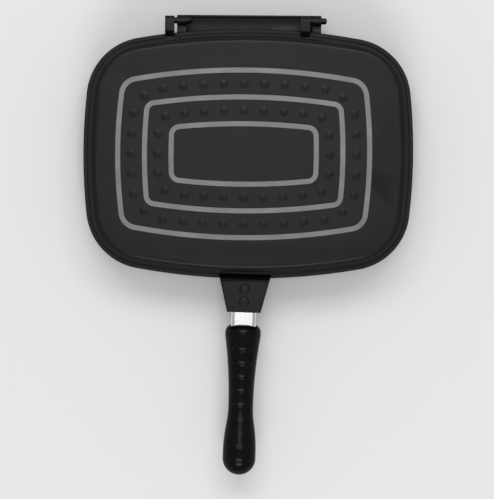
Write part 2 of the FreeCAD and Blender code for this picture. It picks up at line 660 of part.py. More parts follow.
def trough_hollow(sketch):
    """The inside of the trough: its front follows the bowed rim, its other sides are straight."""
    half = value_of("Sizes.trough_length / 2 - Sizes.knuckle_width")
    bow = value_of("Sizes.long_side_bow")
    centre = value_of("Sizes.rim_width / 2") - bow
    back = value_of("Sizes.trough_reach - Sizes.trough_wall")
    lean = math.asin(half / bow)
    front_y = centre + bow * math.cos(lean)
    front, left, outer, right = sketch.addGeometry([
        arc(0, centre, bow, math.pi / 2 - lean, math.pi / 2 + lean),
        line((-half, front_y), (-half, back)),
        line((-half, back), (half, back)),
        line((half, back), (half, front_y)),
    ], False)
    relate(sketch, "Coincident", front, 2, left, 1)
    relate(sketch, "Coincident", left, 2, outer, 1)
    relate(sketch, "Coincident", outer, 2, right, 1)
    relate(sketch, "Coincident", right, 2, front, 1)
    relate(sketch, "Vertical", left)
    relate(sketch, "Vertical", right)
    relate(sketch, "Horizontal", outer)
    relate(sketch, "PointOnObject", front, 3, -2)
    dimension(sketch, "Radius", front, "Sizes.long_side_bow")
    dimension(sketch, "DistanceY", front, 3, -1, 1, "Sizes.long_side_bow - Sizes.rim_width / 2")
    inner_half = "(Sizes.trough_length / 2 - Sizes.knuckle_width)"
    place_point(sketch, left, 2, "-" + inner_half, "(Sizes.trough_reach - Sizes.trough_wall)")
    dimension(sketch, "DistanceX", outer, 1, outer, 2, "2 * " + inner_half)


def grill_ribs(body):
    """Straight ribs across the lower floor."""
    ribs = sketch_on(body, "XY_Plane", "grill_ribs", outward(LOWER, "Sizes.lower_depth - Sizes.plate"))
    end = "(Sizes.rim_width / 2 - %s - Sizes.grill_margin)" % CAVITY_INSET
    for number in range(-GRILL_RIBS_EACH_SIDE, GRILL_RIBS_EACH_SIDE + 1):
        left = "(%d * Sizes.grill_pitch - Sizes.grill_width / 2)" % number
        right = "(%d * Sizes.grill_pitch + Sizes.grill_width / 2)" % number
        polygon(ribs, ((left, "-" + end), (right, "-" + end), (right, end), (left, end)))
    pad(body, ribs, "Sizes.grill_rise", UPPER, "-Sizes.grill_draft")


def make_upper_pan():
    body = new_body("upper_pan")
    pan_wall(body, UPPER)
    flange = sketch_on(body, "XY_Plane", "upper_flange", BASE[UPPER])
    rim_loop(flange, FLANGE_INSET)
    pad(body, flange, "Sizes.flange_height", UPPER)
    for number, start in enumerate(LUG_STARTS):
        bar_along_x(body, "lug_%d" % number, start, "Sizes.lug_width", barrel_with_arm)
    neck(body, UPPER)
    pan_cavity(body, UPPER)
    for start in LUG_STARTS:
        hinge_hole(body, start, "Sizes.lug_width", "Sizes.pin_radius")
    pan_relief(body, UPPER)
    handle_seat(body, UPPER)
    return body


def make_seal():
    """The gasket that fills its groove and stands a little above the rim face."""
    body = new_body("rim_seal")
    band = sketch_on(body, "XY_Plane", "seal_band", "-Sizes.seal_depth")
    rim_loop(band, SEAL_INSET)
    rim_loop(band, "(%s + Sizes.seal_width)" % SEAL_INSET)
    pad(body, band, "Sizes.seal_depth + Sizes.seal_rise")
    return body


def make_pin(label, start):
    """A pin fixed in its lug, through the knuckle, with a bevelled free end."""
    body = new_body(label)
    profile = sketch_on(body, "YZ_Plane", label + "_section", "%s + Sizes.pin_sink" % start)
    circle_at(profile, "Sizes.hinge_out", "Sizes.hinge_height", "Sizes.pin_radius")
    length = (
        "Sizes.lug_width - Sizes.pin_sink + Sizes.lug_gap + Sizes.knuckle_width + Sizes.pin_overhang")
    shaft = pad(body, profile, length)
    tip = value_of("%s + Sizes.pin_sink + %s" % (start, length))
    dress(body, shaft, "Chamfer", "Sizes.pin_nose", lambda box: abs(box.XMin - tip) < 1e-4, "Size")
    return body


def make_tang(label):
    """A flat strap with two rivet holes and a screw hole, rounded at both ends."""
    body = new_body(label)
    plan = sketch_on(body, "XY_Plane", label + "_plan", "Sizes.tang_lift")
    half = "Sizes.tang_width / 2"
    far = "-(Sizes.neck_reach + Sizes.ferrule_show + Sizes.tang_in_grip)"
    near = "Sizes.tang_inner"
    polygon(plan, (("-" + half, near), ("-" + half, far), (half, far), (half, near)))
    strap = pad(body, plan, "Sizes.tang_thickness")
    dress(body, strap, "Fillet", "Sizes.tang_width / 6",
          lambda box: box.ZLength > box.XLength + box.YLength)
    for name, radius, places in (
        ("rivet", "(Sizes.rivet_shank + Sizes.rivet_play)", RIVET_PLACES),
        ("screw", "(Sizes.screw_radius + Sizes.screw_play)", (SCREW_PLACE,)),
    ):
        holes = sketch_on(body, "XY_Plane", "%s_%s_holes" % (label, name), "Sizes.tang_lift")
        for place in places:
            circle_at(holes, "0", place, radius)
        pocket(body, holes, "Sizes.tang_thickness", UPPER)
    return body


def copies_along_handle(body, feature, pitch):
    """A second copy, a pitch further along the handle."""
    doc.recompute()
    pattern = body.newObject("PartDesign::LinearPattern", feature.Name + "_pair")
    pattern.Originals = [feature]
    axis = next(item for item in body.Origin.OriginFeatures if item.Role == "Y_Axis")
    pattern.Direction = (axis, [""])
    pattern.Reversed = True
    pattern.Occurrences = 2
    pattern.setExpression("Length", pitch)
    body.Tip = pattern
    return pattern


def make_rivets(label):
    """Two rivets, each a rounded head on a shank that is flush with the mating face."""
    body = new_body(label)
    sketch = sketch_on(body, "XZ_Plane", label + "_section")
    top = "(Sizes.neck_height + Sizes.rivet_dome)"
    polygon(sketch, (
        ("0", "Sizes.rivet_sink"),
        ("Sizes.rivet_shank", "Sizes.rivet_sink"),
        ("Sizes.rivet_shank", "Sizes.neck_height"),
        ("Sizes.rivet_head", "Sizes.neck_height"),
        ("Sizes.rivet_head", "(Sizes.neck_height + Sizes.rivet_brim)"),
        ("Sizes.rivet_crown", top),
        ("0", top),
    ))
    copies_along_handle(body, turn(body, sketch), "Sizes.rivet_pitch")
    return body


def ferrule_profile(sketch, inset, spread="0"):
    """The ferrule's section: a flat side at the mating face and rounded corners, moved in or out."""
    half = "(Sizes.ferrule_width / 2 - %s + %s)" % (inset, spread)
    low = "(Sizes.ferrule_lift + %s - %s)" % (inset, spread)
    high = "(Sizes.ferrule_lift + Sizes.ferrule_height - %s + %s)" % (inset, spread)
    back_round = "(Sizes.ferrule_round - %s + %s)" % (inset, spread)
    heel_round = "(Sizes.ferrule_heel - %s + %s)" % (inset, spread)
    x, bottom, top, big, small = (value_of(size) for size in (half, low, high, back_round, heel_round))
    quarter = math.pi / 2
    loop = sketch.addGeometry([
        line((-x + small, bottom), (x - small, bottom)),
        arc(x - small, bottom + small, small, -quarter, 0),
        line((x, bottom + small), (x, top - big)),
        arc(x - big, top - big, big, 0, quarter),
        line((x - big, top), (-x + big, top)),
        arc(-x + big, top - big, big, quarter, 2 * quarter),
        line((-x, top - big), (-x, bottom + small)),
        arc(-x + small, bottom + small, small, 2 * quarter, 3 * quarter),
    ], False)
    for this, following in zip(loop, list(loop[1:]) + [loop[0]]):
        relate(sketch, "Tangent", this, 2, following, 1)
    relate(sketch, "Horizontal", loop[0])
    relate(sketch, "Vertical", loop[2])
    for index, size in ((1, heel_round), (3, back_round), (5, back_round), (7, heel_round)):
        dimension(sketch, "Radius", loop[index], size)
    place_point(sketch, loop[1], 2, half, "(%s + %s)" % (low, heel_round))
    place_point(sketch, loop[4], 1, "(%s - %s)" % (half, back_round), high)
    place_point(sketch, loop[6], 1, "-" + half, "(%s - %s)" % (high, back_round))


def make_ferrule(label):
    """A sleeve of thin sheet round the tang, from the neck into the grip's socket."""
    body = new_body(label)
    section = sketch_on(body, "XZ_Plane", label + "_section", "Sizes.neck_reach")
    ferrule_profile(section, "0")
    ferrule_profile(section, "Sizes.ferrule_wall")
    pad(body, section, "Sizes.ferrule_show + Sizes.ferrule_tuck")
    return body


def grip_profile(sketch):
    """Half the grip's plan: a rounded collar, a waist, a swell and a round end, all tangent."""
    start = value_of(GRIP_START)
    shoulder, collar, waist, swell = (
        value_of("Sizes.%s_radius" % name) for name in ("shoulder", "collar", "waist", "swell"))
    collar_y = -start - value_of("Sizes.collar_at")
    waist_y = -start - value_of("Sizes.waist_at")
    swell_y = -start - value_of("Sizes.swell_at")
    end_y = -start - value_of("Sizes.grip_length")
    fall, rise = value_of("Sizes.collar_fall"), value_of("Sizes.waist_rise")
    edges = [
        arc(collar - shoulder, -start - shoulder, shoulder, 0, math.pi / 2),
        line((collar, -start - shoulder), (collar, collar_y)),
    ]
    sweep, other = s_curve(collar_y - waist_y, collar - waist, fall)
    edges.append(arc(collar - fall, collar_y, fall, -sweep, 0))
    edges.append(arc(waist + other, waist_y, other, math.pi - sweep, math.pi))
    sweep, other = s_curve(waist_y - swell_y, swell - waist, rise)
    edges.append(arc(waist + rise, waist_y, rise, math.pi, math.pi + sweep))
    edges.append(arc(swell - other, swell_y, other, 0, sweep))
    edges.append(line((swell, swell_y), (swell, end_y + swell)))
    edges.append(arc(0, end_y + swell, swell, -math.pi / 2, 0))
    edges.append(line((0, end_y), (0, -start)))
    edges.append(line((0, -start), (collar - shoulder, -start)))
    loop = sketch.addGeometry(edges, False)
    shoulder_arc, collar_side, fall_arc, waist_in, waist_out = loop[:5]
    swell_arc, side, end_arc, middle, front = loop[5:]
    relate(sketch, "Tangent", shoulder_arc, 1, collar_side, 1)
    relate(sketch, "Tangent", collar_side, 2, fall_arc, 2)
    relate(sketch, "Tangent", fall_arc, 1, waist_in, 1)
    relate(sketch, "Tangent", waist_in, 2, waist_out, 1)
    relate(sketch, "Tangent", waist_out, 2, swell_arc, 2)
    relate(sketch, "Tangent", swell_arc, 1, side, 1)
    relate(sketch, "Tangent", side, 2, end_arc, 2)
    relate(sketch, "Coincident", end_arc, 1, middle, 1)
    relate(sketch, "Coincident", middle, 2, front, 1)
    relate(sketch, "Tangent", front, 2, shoulder_arc, 2)
    relate(sketch, "Vertical", collar_side)
    relate(sketch, "Horizontal", front)
    relate(sketch, "PointOnObject", end_arc, 3, -2)
    relate(sketch, "Vertical", side)
    dimension(sketch, "Radius", fall_arc, "Sizes.collar_fall")
    dimension(sketch, "Radius", waist_out, "Sizes.waist_rise")
    dimension(sketch, "Radius", end_arc, "Sizes.swell_radius")
    place_point(sketch, front, 1, "0", "-" + GRIP_START)
    dimension(sketch, "Radius", shoulder_arc, "Sizes.shoulder_radius")
    place_point(sketch, fall_arc, 2, "Sizes.collar_radius", "-(%s + Sizes.collar_at)" % GRIP_START)
    place_point(sketch, waist_in, 2, "Sizes.waist_radius", "-(%s + Sizes.waist_at)" % GRIP_START)
    relate(sketch, "Horizontal", waist_in, 2, waist_in, 3)
    dimension(sketch, "DistanceY", swell_arc, 1, -1, 1, "%s + Sizes.swell_at" % GRIP_START)
    place_point(sketch, middle, 1, "0", "-(%s + Sizes.grip_length)" % GRIP_START)


def s_curve(run, rise, first):
    """The sweep and the second radius of two tangent arcs that climb a rise over a run."""
    sweep = 2 * math.atan(rise / run)
    return sweep, run / math.sin(sweep) - first


def grip_radius(place):
    """The grip's radius at a distance from its front end, behind the collar."""
    names = ("collar", "waist", "swell")
    collar_at, waist_at, swell_at = (value_of("Sizes.%s_at" % name) for name in names)
    collar, waist, swell = (value_of("Sizes.%s_radius" % name) for name in names)
    fall, rise = value_of("Sizes.collar_fall"), value_of("Sizes.waist_rise")
    if place >= swell_at:
        return swell
    if place < waist_at:
        sweep, other = s_curve(waist_at - collar_at, collar - waist, fall)
        if place - collar_at < fall * math.sin(sweep):
            return collar - fall + math.sqrt(fall ** 2 - (place - collar_at) ** 2)
        return waist + other - math.sqrt(other ** 2 - (waist_at - place) ** 2)
    sweep, other = s_curve(swell_at - waist_at, swell - waist, rise)
    if place - waist_at < rise * math.sin(sweep):
        return waist + rise - math.sqrt(rise ** 2 - (place - waist_at) ** 2)
    return swell - other + math.sqrt(other ** 2 - (swell_at - place) ** 2)


def make_grip(label):
    """Half a turned grip with finger ribs on its back, hollowed for the ferrule, tang and fixings."""
    body = new_body(label)
    plan = sketch_on(body, "XY_Plane", label + "_plan")
    grip_profile(plan)
    half = turn(body, plan, angle="180")
    doc.recompute()
    if half.Shape.BoundBox.ZMax < value_of("Sizes.waist_radius"):
        half.Reversed = True

    ribs = sketch_on(body, "YZ_Plane", label + "_ribs")
    for number in range(FINGER_RIBS):
        place = value_of("Sizes.first_rib_at") + number * value_of("Sizes.rib_pitch")
        at = "-(%s + Sizes.first_rib_at + %d * Sizes.rib_pitch)" % (GRIP_START, number)
        root = "(%r - Sizes.rib_root)" % grip_radius(place)
        crest = "(%r + Sizes.rib_rise)" % grip_radius(place)
        polygon(ribs, (
            (at + " - Sizes.rib_foot / 2", root),
            (at + " + Sizes.rib_foot / 2", root),
            (at + " + Sizes.rib_crest / 2", crest),
            (at + " - Sizes.rib_crest / 2", crest),
        ))
    turn(body, ribs, axis="H_Axis", angle="Sizes.rib_sweep", midplane=True)

    socket = sketch_on(body, "XZ_Plane", label + "_socket", GRIP_START)
    ferrule_profile(socket, "0", "Sizes.ferrule_play")
    pocket(body, socket, "Sizes.ferrule_tuck + Sizes.ferrule_play", UPPER)

    slot = sketch_on(body, "XY_Plane", label + "_slot", "Sizes.tang_lift - Sizes.tang_play")
    wide = "(Sizes.tang_width / 2 + Sizes.tang_play)"
    far = "-(%s + Sizes.tang_in_grip + Sizes.tang_play)" % GRIP_START
    near = "-" + GRIP_START
    polygon(slot, (("-" + wide, near), ("-" + wide, far), (wide, far), (wide, near)))
    pocket(body, slot, "Sizes.tang_thickness + 2 * Sizes.tang_play", UPPER)

    seat = "Sizes.screw_sink + Sizes.screw_head_height + Sizes.washer_thickness"
    for name, radius, depth in (
        ("seats", "(Sizes.washer_radius + Sizes.screw_play)", seat),
        ("holes", "(Sizes.screw_radius + Sizes.screw_play)", "Sizes.tang_lift"),
    ):
        hole = sketch_on(body, "XY_Plane", "%s_screw_%s" % (label, name))
        circle_at(hole, "0", SCREW_PLACE, radius)
        pocket(body, hole, depth, UPPER)
    bore = sketch_on(body, "XY_Plane", label + "_insert_bore", "Sizes.tang_lift + Sizes.tang_thickness")
    hexagon_at(bore, SCREW_PLACE, "Sizes.insert_radius")
    pocket(body, bore, "Sizes.insert_length + Sizes.tang_play", UPPER)

    well = sketch_on(body, "XY_Plane", label + "_magnet_well")
    circle_at(well, "0", "-(%s + Sizes.magnet_at)" % GRIP_START, "Sizes.magnet_radius")
    pocket(body, well, "Sizes.magnet_sink + Sizes.magnet_thickness", UPPER)
    return body


def hexagon_at(sketch, place, radius):
    """A hexagon about a point on the handle's middle line, with two corners on that line."""
    corners = []
    for number in range(6):
        turn_by = 60 * number
        corners.append((
            "(%s * %r)" % (radius, round(math.sin(math.radians(turn_by)), 12)),
            "(%s + %s * %r)" % (place, radius, round(math.cos(math.radians(turn_by)), 12)),
        ))
    polygon(sketch, corners)


def make_screw(label):
    """A flat head with a hexagon drive, on a shank that reaches into the insert."""
    body = new_body(label)
    shank_length = (
        "(Sizes.tang_lift + Sizes.tang_thickness + Sizes.tang_play + Sizes.insert_length"
        " - Sizes.screw_end - Sizes.screw_sink)")
    for name, radius, length in (
        ("head", "Sizes.screw_head", "Sizes.screw_head_height"),
        ("shank", "Sizes.screw_radius", shank_length),
    ):
        disc = sketch_on(body, "XY_Plane", "%s_%s" % (label, name), "Sizes.screw_sink")
        circle_at(disc, "0", SCREW_PLACE, radius)
        pad(body, disc, length)
    drive = sketch_on(body, "XY_Plane", label + "_drive", "Sizes.screw_sink")
    hexagon_at(drive, SCREW_PLACE, "Sizes.screw_drive")
    pocket(body, drive, "Sizes.screw_drive_depth", UPPER)
    return body


def make_washer(label):
    body = new_body(label)
    ring = sketch_on(body, "XY_Plane", label + "_ring", "Sizes.screw_sink + Sizes.screw_head_height")
    circle_at(ring, "0", SCREW_PLACE, "Sizes.washer_radius")
    circle_at(ring, "0", SCREW_PLACE, "(Sizes.screw_radius + Sizes.screw_play)")
    pad(body, ring, "Sizes.washer_thickness")
    return body


def make_insert(label):
    """A hexagonal brass insert, moulded into the grip beyond the tang."""
    body = new_body(label)
    low = "Sizes.tang_lift + Sizes.tang_thickness + Sizes.tang_play"
    ring = sketch_on(body, "XY_Plane", label + "_ring", low)
    hexagon_at(ring, SCREW_PLACE, "Sizes.insert_radius")
    circle_at(ring, "0", SCREW_PLACE, "Sizes.screw_radius")
    pad(body, ring, "Sizes.insert_length")
    return body


def make_magnet(label):
    body = new_body(label)
    disc = sketch_on(body, "XY_Plane", label + "_disc", "Sizes.magnet_sink")
    circle_at(disc, "0", "-(%s + Sizes.magnet_at)" % GRIP_START, "Sizes.magnet_radius")
    pad(body, disc, "Sizes.magnet_thickness")
    return body


HANDLE_PIECES = {
    "tang": make_tang,
    "rivets": make_rivets,
    "ferrule": make_ferrule,
    "grip": make_grip,
    "grip_screw": make_screw,
    "screw_washer": make_washer,
    "screw_insert": make_insert,
    "magnet": make_magnet,
}


def handle_place(side):
    """From the handle's own frame to the pans': the lower half is the upper one turned over."""
    pivot = FreeCAD.Vector(
        -value_of("Sizes.handle_shift"), -value_of("Sizes.handle_pivot"), value_of(BASE[side]))
    lean = FreeCAD.Rotation(FreeCAD.Vector(0, 0, 1), -value_of("Sizes.handle_lean"))
    over = FreeCAD.Rotation(FreeCAD.Vector(0, 1, 0), 180 if side == LOWER else 0)
    return FreeCAD.Placement(pivot, lean * over)


def build():
    """Every sub-part, each in its place about the pans' centre."""
    parts = [make_lower_pan(), make_upper_pan(), make_seal()]
    for label, start in zip(("left_hinge_pin", "right_hinge_pin"), LUG_STARTS):
        parts.append(make_pin(label, start))
    for side, prefix in ((LOWER, "lower_"), (UPPER, "upper_")):
        for name, make in HANDLE_PIECES.items():
            piece = make(prefix + name)
            piece.Placement = handle_place(side)
            parts.append(piece)
    doc.recompute()
    return parts


def check(parts):
    """Stops the build on any failed object, empty shape or feature that changed nothing."""
    for item in doc.Objects:
        if {"Invalid", "Error"} & set(item.State):
            raise RuntimeError("%s failed: %s" % (item.Label, item.getStatusString()))
    for body in parts:
        if body.Shape.isNull() or not body.Shape.isValid():
            raise RuntimeError("%s has no valid shape" % body.Label)
        volume = 0
        for feature in body.Group:
            if feature.isDerivedFrom("PartDesign::Feature"):
                if abs(feature.Shape.Volume - volume) < 1e-3:
                    raise RuntimeError("%s changes nothing" % feature.Label)
                volume = feature.Shape.Volume


def stand_on_origin(parts):
    """Moves every sub-part so that the origin is at the bottom centre of the whole."""
    box = FreeCAD.BoundBox()
    for body in parts:
        box.add(body.Shape.optimalBoundingBox())
    to_origin = FreeCAD.Vector(-box.Center.x, -box.Center.y, -box.ZMin)
    shift = FreeCAD.Placement(to_origin, FreeCAD.Rotation())
    for body in parts:
        body.Placement = shift * body.Placement
    doc.recompute()
    print("moved by", shift.Base, "overall", box.XLength, box.YLength, box.ZLength)


parts = build()
check(parts)
stand_on_origin(parts)
check(parts)
os.makedirs("parts", exist_ok=True)
for body in parts:
    body.Shape.exportStep("parts/%s.step" % body.Label)
    print(body.Label, len(body.Shape.Solids), "solids", round(body.Shape.Volume), "mm3")
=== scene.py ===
"""Double sided flip pan, closed, lying on a pale table and seen from straight above.

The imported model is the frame. Each casting is dressed with a copy that has rounded edges and domed
bumps, and each grip with a smooth moulding; every piece gets the finish of the real one.
"""
import math

import bmesh
import bpy
from mathutils import Matrix, Vector


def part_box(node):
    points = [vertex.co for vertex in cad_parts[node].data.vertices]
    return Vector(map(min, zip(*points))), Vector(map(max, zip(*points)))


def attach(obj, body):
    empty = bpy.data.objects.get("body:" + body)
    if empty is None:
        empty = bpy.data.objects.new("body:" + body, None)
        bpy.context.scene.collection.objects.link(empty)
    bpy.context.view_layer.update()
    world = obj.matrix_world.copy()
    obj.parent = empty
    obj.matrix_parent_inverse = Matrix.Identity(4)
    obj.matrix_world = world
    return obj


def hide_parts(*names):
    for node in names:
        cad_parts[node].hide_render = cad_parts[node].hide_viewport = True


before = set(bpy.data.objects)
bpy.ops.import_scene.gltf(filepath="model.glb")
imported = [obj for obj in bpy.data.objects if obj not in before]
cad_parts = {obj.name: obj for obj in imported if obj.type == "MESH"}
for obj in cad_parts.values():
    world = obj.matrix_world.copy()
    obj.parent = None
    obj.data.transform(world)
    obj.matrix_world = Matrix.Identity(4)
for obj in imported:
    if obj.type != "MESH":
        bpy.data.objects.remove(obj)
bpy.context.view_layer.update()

MM = 0.001
UPPER, LOWER = "upper", "lower"

# Heights and centres, from the frame
SEAL_RISE = 0.4 * MM
RIM_GAP = 0.7 * MM
RING_RISE = 0.8 * MM
seal_low, seal_high = (Vector(corner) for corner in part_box("rim_seal"))
PAN_CENTRE = (seal_low + seal_high) / 2
LOWER_RIM_FACE = seal_high.z - SEAL_RISE
UPPER_RIM_FACE = LOWER_RIM_FACE + RIM_GAP
UPPER_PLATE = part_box("upper_pan")[1][2] - RING_RISE
LOWER_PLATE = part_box("lower_pan")[0][2] + RING_RISE

# The raised pattern on both plates
PATTERN_SHIFT = 4.4 * MM
RING_BAND = 4.8 * MM
RING_SIZES = {
    "outer": (245.3 * MM, 164.7 * MM),
    "middle": (194.2 * MM, 113.5 * MM),
    "inner": (143.5 * MM, 62.5 * MM),
}
RING_LONG_BOW = 600 * MM
RING_SHORT_BOW = 465 * MM

# A loop of bumps: the rings outside and inside it, its corner radius, and its steps in a quarter
BUMP_LOOPS = (
    ("outer", "middle", 33 * MM, 8),
    ("middle", "inner", 15 * MM, 6),
)
BUMP_RADIUS = 5.4 * MM
BUMP_RISE = 0.66 * MM
PACKED_BUMP_RISE = 0.5 * MM
BUMP_STEPS = 8
BUMP_SEGMENTS = 32

# The handle's own frame starts at the first rivet, on the mating face
HANDLE_SHIFT = 2.7 * MM
HANDLE_PIVOT = 130.9 * MM
HANDLE_LEAN = math.radians(1.45)

# The grip's outline, by distances from its front end
GRIP_START = 34.5 * MM
GRIP_LENGTH = 147.4 * MM
SHOULDER_RADIUS = 8.2 * MM
COLLAR_RADIUS = 17.4 * MM
COLLAR_AT = 10.7 * MM
COLLAR_FALL = 8 * MM
WAIST_RADIUS = 12.1 * MM
WAIST_AT = 79.5 * MM
WAIST_RISE = 110 * MM
SWELL_RADIUS = 16.1 * MM
SWELL_AT = 125.5 * MM

# The finger ribs across the grip's back
FINGER_RIBS = 9
FIRST_RIB_AT = 23.8 * MM
RIB_PITCH = 13.5 * MM
RIB_FOOT = 4.8 * MM
RIB_RISE = 0.75 * MM
RIB_HALF_SWEEP = math.radians(38)
RIB_END_SHARE = 0.3

# How the grip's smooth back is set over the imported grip, and how finely it is drawn
GRIP_INSET = 0.02 * MM
BACK_DEPTH = 0.7 * MM
MATING_SLACK = 0.05 * MM
FERRULE_POCKET = 4.3 * MM
SHOULDER_STEPS = 16
BODY_STEP = 0.5 * MM
END_STEPS = 24
BACK_STEPS = 72

# The neck's root, by distances from the first rivet towards the pan and heights over the mating face
NECK_HEIGHT = 10.5 * MM
NECK_SOLE = 2.4 * MM
NECK_STEP = 12.6 * MM
NECK_FLAT_END = 6.45 * MM
NECK_HALF_WIDTH = 25.4 * MM
NECK_TAPER = 0.2466
NECK_ROUND = 8 * MM
NECK_SLACK = 0.05 * MM
SLOPE_NORMAL = Vector((0, 1, 1))
SLOPE_SLACK = math.radians(1)

# The rivets; the powers make their heads nearly flat, with a round rim
RIVET_PITCH = 12.3 * MM
RIVET_SINK = 0.2 * MM
RIVET_SHANK = 2.5 * MM
RIVET_HEAD = 5.05 * MM
RIVET_BRIM = 0.35 * MM
RIVET_DOME = 1.7 * MM
RIVET_RIM_POWER = 0.6
RIVET_TOP_POWER = 0.8
RIVET_STEPS = 10
RIVET_SEGMENTS = 40

# Edge roundings
CASTING_EDGE = 0.45 * MM
SEAL_EDGE = 0.35 * MM
PIN_EDGE = 0.3 * MM
STRAP_EDGE = 0.2 * MM
GRIP_EDGE = 0.15 * MM
STEEL_EDGE = 0.15 * MM
SMALL_EDGE = 0.1 * MM
EDGE_SEGMENTS = 3

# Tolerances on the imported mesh
WELD = 0.002 * MM
BACK_WELD = 0.001 * MM
SAME_LEVEL = 0.01 * MM
RING_TOP_SLACK = 0.02 * MM
COPLANAR = math.radians(0.4)
SHARP = math.radians(30)
SHARP_ON_TURNED = math.radians(40)

# The camera hangs over the pan's centre, turned a little, and looks at the photograph's middle
CAMERA_HEIGHT = 2.2
CAMERA_TURN = math.radians(0.42)
PIXEL_AT_RIM = 0.9708 * MM
PHOTO_SIZE = (494, 499)
PAN_CENTRE_PIXEL = (248.27, 153.93)

# Lamps: metres behind the pan's centre and above the table, size, and radiance
LAMPS = (
    ("overhead", 0.1, 3.2, (1.25, 0.76), 2.4),
    ("front_softbox", -1.75, 2.1, (1.4, 0.8), 4.5),
    ("back_softbox", 1.35, 2.4, (2.2, 0.8), 4.5),
)
ROOM_GLOW = 0.42
TABLE_REACH = 6

# Sockets of a colour mix, whose names repeat
MIX_FACTOR, MIX_FIRST, MIX_SECOND, MIX_COLOUR = 0, 6, 7, 2


def srgb(code):
    """The linear colour of a hex code such as '808080'."""
    channels = [int(code[place:place + 2], 16) / 255 for place in (0, 2, 4)]
    return [c / 12.92 if c <= 0.04045 else ((c + 0.055) / 1.055) ** 2.4 for c in channels] + [1]


def add(tree, kind, settings=None, links=None):
    """A node with its settings, either of the node or of its sockets, and its incoming links."""
    node = tree.nodes.new(kind)
    for name, value in (settings or {}).items():
        if hasattr(node, name):
            setattr(node, name, value)
        else:
            node.inputs[name].default_value = value
    for socket, source in (links or {}).items():
        tree.links.new(source, node.inputs[socket])
    return node


def new_material(name, settings):
    """A material with its Principled shader and the object's own coordinates, in metres."""
    material = bpy.data.materials.new(name)
    material.use_nodes = True
    tree = material.node_tree
    shader = tree.nodes["Principled BSDF"]
    for socket, value in settings.items():
        shader.inputs[socket].default_value = value
    place = add(tree, "ShaderNodeTexCoord").outputs["Object"]
    return material, tree, shader, place


def per_metre(size):
    """The scale at which a noise has features of that size."""
    return 1 / size


def stretched(tree, place, scale):
    """The coordinates, scaled apart along X, Y and Z."""
    return add(tree, "ShaderNodeMapping", {"Scale": scale}, {"Vector": place}).outputs["Vector"]


def grain(tree, place, size, detail=2):
    """Noise between 0 and 1 with features of a size."""
    settings = {"Scale": per_metre(size), "Detail": detail, "Roughness": 0.55}
    return add(tree, "ShaderNodeTexNoise", settings, {"Vector": place}).outputs["Fac"]


def spread(tree, value, low, high):
    """A noise's middle range, spread from low to high."""
    settings = {"From Min": 0.3, "From Max": 0.7, "To Min": low, "To Max": high}
    return add(tree, "ShaderNodeMapRange", settings, {"Value": value}).outputs["Result"]


def fading_shine(tree, shader, face_on, edge_on):
    """Less shine seen edge-on, where the roughness of a moulded or sprayed skin shades itself."""
    facing = add(tree, "ShaderNodeLayerWeight", {"Blend": 0.5}).outputs["Facing"]
    settings = {"From Min": 0.1, "From Max": 0.6, "To Min": face_on, "To Max": edge_on}
    level = add(tree, "ShaderNodeMapRange", settings, {"Value": facing}).outputs["Result"]
    tree.links.new(level, shader.inputs["Specular IOR Level"])


def tint(tree, factor, first, second):
    """A colour between two hex codes."""
    node = add(tree, "ShaderNodeMix", {"data_type": "RGBA"})
    node.inputs[MIX_FIRST].default_value = srgb(first)
    node.inputs[MIX_SECOND].default_value = srgb(second)
    tree.links.new(factor, node.inputs[MIX_FACTOR])
    return node.outputs[MIX_COLOUR]


def raised(tree, height, distance, under=None):
    """A bump of a real height, on top of another."""
    links = {"Height": height}
    if under is not None:
        links["Normal"] = under
    return add(tree, "ShaderNodeBump", {"Distance": distance}, links).outputs["Normal"]


def finish(tree, shader, colour, roughness, normal):
    """Links a finish's colour, roughness and surface to its shader."""
    tree.links.new(colour, shader.inputs["Base Color"])
    tree.links.new(roughness, shader.inputs["Roughness"])
    tree.links.new(normal, shader.inputs["Normal"])


def coated_casting():
    """Sprayed PTFE over die-cast aluminium: near black, it shines grey where it faces a lamp.

    The tooth of the sprayed coat is drawn at 0.45 mm, as coarse as it needs to show.
    """
    material, tree, shader, place = new_material("non_stick_coating", {"Metallic": 0, "IOR": 1.36})
    cloud = grain(tree, place, 45 * MM, detail=3)
    peel = grain(tree, place, 2.4 * MM)
    tooth = grain(tree, place, 0.45 * MM, detail=4)
    colour = tint(tree, spread(tree, cloud, 0, 1), "131314", "171718")
    orange_peel = raised(tree, peel, 0.02 * MM)
    surface = raised(tree, tooth, 0.012 * MM, under=orange_peel)
    finish(tree, shader, colour, spread(tree, tooth, 0.31, 0.39), surface)
    fading_shine(tree, shader, face_on=0.38, edge_on=0.015)
    return material


def ground_rings():
    """Ring tops where the coating is ground away: bare aluminium with lines along the pan.

    The lines are drawn 0.35 mm apart, as coarse as they need to show.
    """
    material, tree, shader, place = new_material("ground_aluminium", {"Metallic": 1})
    lines = grain(tree, stretched(tree, place, (0.03, 1, 1)), 0.35 * MM, detail=3)
    cloud = grain(tree, place, 20 * MM, detail=3)
    colour = tint(tree, spread(tree, cloud, 0, 1), "777778", "838384")
    finish(tree, shader, colour, spread(tree, lines, 0.42, 0.52), raised(tree, lines, 0.006 * MM))
    return material


def black_phenolic():
    """Compression moulded phenolic: glossy black with a faint moulding texture."""
    material, tree, shader, place = new_material("black_phenolic", {"Metallic": 0})
    cloud = grain(tree, place, 12 * MM, detail=3)
    skin = grain(tree, place, 1.2 * MM, detail=3)
    colour = tint(tree, spread(tree, cloud, 0, 1), "070707", "0b0b0b")
    finish(tree, shader, colour, spread(tree, skin, 0.13, 0.19), raised(tree, skin, 0.01 * MM))
    fading_shine(tree, shader, face_on=0.14, edge_on=0.03)
    return material


